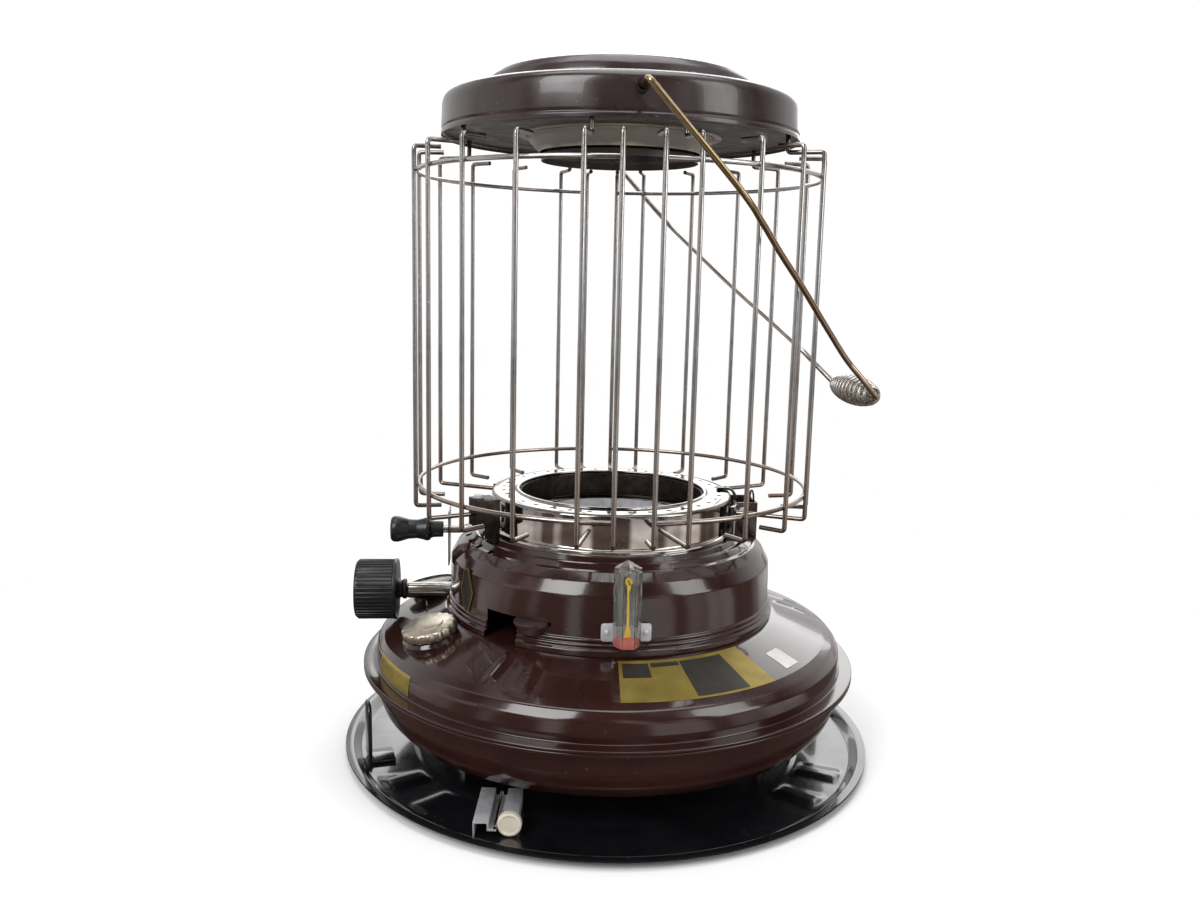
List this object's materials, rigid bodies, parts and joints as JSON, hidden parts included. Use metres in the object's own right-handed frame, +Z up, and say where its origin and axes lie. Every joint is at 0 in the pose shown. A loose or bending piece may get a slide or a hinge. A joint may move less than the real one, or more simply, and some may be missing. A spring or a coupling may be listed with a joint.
{
  "type": "portable kerosene heater",
  "caption": "Portable wick-fed kerosene heater: round tank on a drip tray, chrome burner ring, wire guard, top plate and a swinging wire bail with a coiled grip.",
  "frame": {"origin": "centre of the drip tray's underside, on the floor, on the heater's vertical axis", "axes": "+Z up, -Y to the front with the tilt indicator, -X to the side with the wick knob"},
  "size_m": [0.482, 0.482, 0.6],
  "materials": {
    "brown_enamel": "gloss enamel",
    "black_enamel": "gloss enamel",
    "chrome": "polished, heat-tinted",
    "wire_chrome": "plated wire, tarnished",
    "zinc_plate": "zinc plated",
    "dark_steel": "darkened by heat",
    "grey_enamel": "matt, heat-stained",
    "cream_enamel": "matt, discoloured",
    "black_plastic": "satin moulding",
    "white_plastic": "satin moulding",
    "clear_plastic": "clear",
    "red_plastic": "satin moulding",
    "yellow_plastic": "satin moulding",
    "black_rubber": "matt",
    "brass": "plain",
    "wick_cotton": "woven fibre"
  },
  "bodies": {
    "base": {"tank_lower_shell": "brown_enamel", "tank_upper_shell": "brown_enamel", "collar": "brown_enamel", "hinge_post": "brown_enamel", "top_plate": "brown_enamel", "drip_tray": "black_enamel", "tray_retainer_left": "black_enamel", "tray_retainer_right": "black_enamel", "support_leg_1": "black_enamel", "support_leg_2": "black_enamel", "support_leg_3": "black_enamel", "badge_plate": "black_enamel", "lever_guide": "black_enamel", "guard_left": "wire_chrome", "guard_right": "wire_chrome", "tray_clamp_channel": "zinc_plate", "tray_clamp_rod": "zinc_plate", "filler_neck": "zinc_plate", "window_bracket": "zinc_plate", "bracket_rivet_left": "zinc_plate", "bracket_rivet_right": "zinc_plate", "inner_draft_tube": "zinc_plate", "outer_wick_tube": "zinc_plate", "knob_sleeve": "zinc_plate", "hinge_pin": "zinc_plate", "guard_bracket_front_left": "zinc_plate", "guard_bolt": "zinc_plate", "fuel_dial_case": "dark_steel", "burner_seat": "dark_steel", "guard_bracket_front_right": "dark_steel", "guard_bracket_back_left": "dark_steel", "guard_bracket_back_right": "dark_steel", "baffle_bolt": "dark_steel", "underside_pan": "grey_enamel", "baffle_drum": "grey_enamel", "chimney_collar": "cream_enamel", "filler_strainer": "white_plastic", "window_case": "clear_plastic", "fuel_dial_lens": "clear_plastic", "window_base": "red_plastic"},
    "bail": {"bail_wire": "wire_chrome", "grip_coil": "wire_chrome", "bail_washer_front": "zinc_plate", "bail_washer_back": "zinc_plate"},
    "knob": {"pinion_shaft": "dark_steel", "wick_knob": "black_plastic"},
    "wick": {"wick": "wick_cotton", "wick_carrier": "brass"},
    "lift": {"burner_ring": "chrome", "ring_sleeve": "dark_steel", "ring_hook": "black_enamel", "lever_rod": "zinc_plate", "lever_handle": "black_plastic"},
    "gasket": {"cap_gasket": "black_rubber"},
    "cap": {"fuel_cap": "zinc_plate"},
    "pointer": {"plumb_pointer": "yellow_plastic"},
    "float": {"fuel_float": "brass"},
    "needle": {"fuel_dial_needle": "black_plastic"},
    "shutoff": {"shutoff_lever": "black_plastic"},
    "clamp_knob": {"tray_clamp_knob": "white_plastic"}
  },
  "joints": [
    {"name": "bail_swing", "type": "hinge", "parent": "base", "child": "bail", "pos_m": [0, 0, 0.5665], "axis": [0, 1, 0], "range_deg": [-273, 0]},
    {"name": "knob_turn", "type": "hinge", "parent": "base", "child": "knob", "pos_m": [-0.15, 0, 0.142], "axis": [1, 0, 0], "range_deg": [0, 110]},
    {"name": "wick_slide", "type": "slide", "parent": "base", "child": "wick", "axis": [0, 0, 1], "range_m": [0, 0.0153]},
    {"name": "ring_lift", "type": "hinge", "parent": "base", "child": "lift", "pos_m": [0.119, 0, 0.221], "axis": [0, 1, 0], "range_deg": [0, 2]},
    {"name": "cap_lift", "type": "slide", "parent": "base", "child": "gasket", "axis": [-0.2039, -0.0951, 0.9744], "range_m": [0, 0.0045]},
    {"name": "cap_turn", "type": "hinge", "parent": "gasket", "child": "cap", "pos_m": [-0.1586, -0.07396, 0.121], "axis": [-0.2039, -0.0951, 0.9744], "range_deg": [0, 360]},
    {"name": "pointer_swing", "type": "hinge", "parent": "base", "child": "pointer", "pos_m": [0, -0.155, 0.1937], "axis": [0, 1, 0], "range_deg": [-5, 5]},
    {"name": "float_swing", "type": "hinge", "parent": "base", "child": "float", "pos_m": [-0.16439, 0.05026, 0.10522], "axis": [-0.9563, 0.2924, 0], "range_deg": [0, 45]},
    {"name": "needle_turn", "type": "hinge", "parent": "base", "child": "needle", "pos_m": [-0.16783, 0.05131, 0.12082], "axis": [-0.2151, 0.0658, 0.9744], "range_deg": [0, 90]},
    {"name": "shutoff_turn", "type": "hinge", "parent": "base", "child": "shutoff", "pos_m": [0, 0, 0.184], "axis": [0, 0, 1], "range_deg": [-12, 0]},
    {"name": "clamp_knob_turn", "type": "hinge", "parent": "base", "child": "clamp_knob", "pos_m": [-0.09107, -0.18629, 0.0116], "axis": [-0.0993, -0.9951, 0], "range_deg": [0, 90]}
  ],
  "couplings": [
    {"joint": "knob_turn", "follows": "wick_slide", "rad_per_m": 125},
    {"joint": "cap_turn", "follows": "cap_lift", "rad_per_m": 1396.2},
    {"joint": "needle_turn", "follows": "float_swing", "ratio": 2}
  ]
}
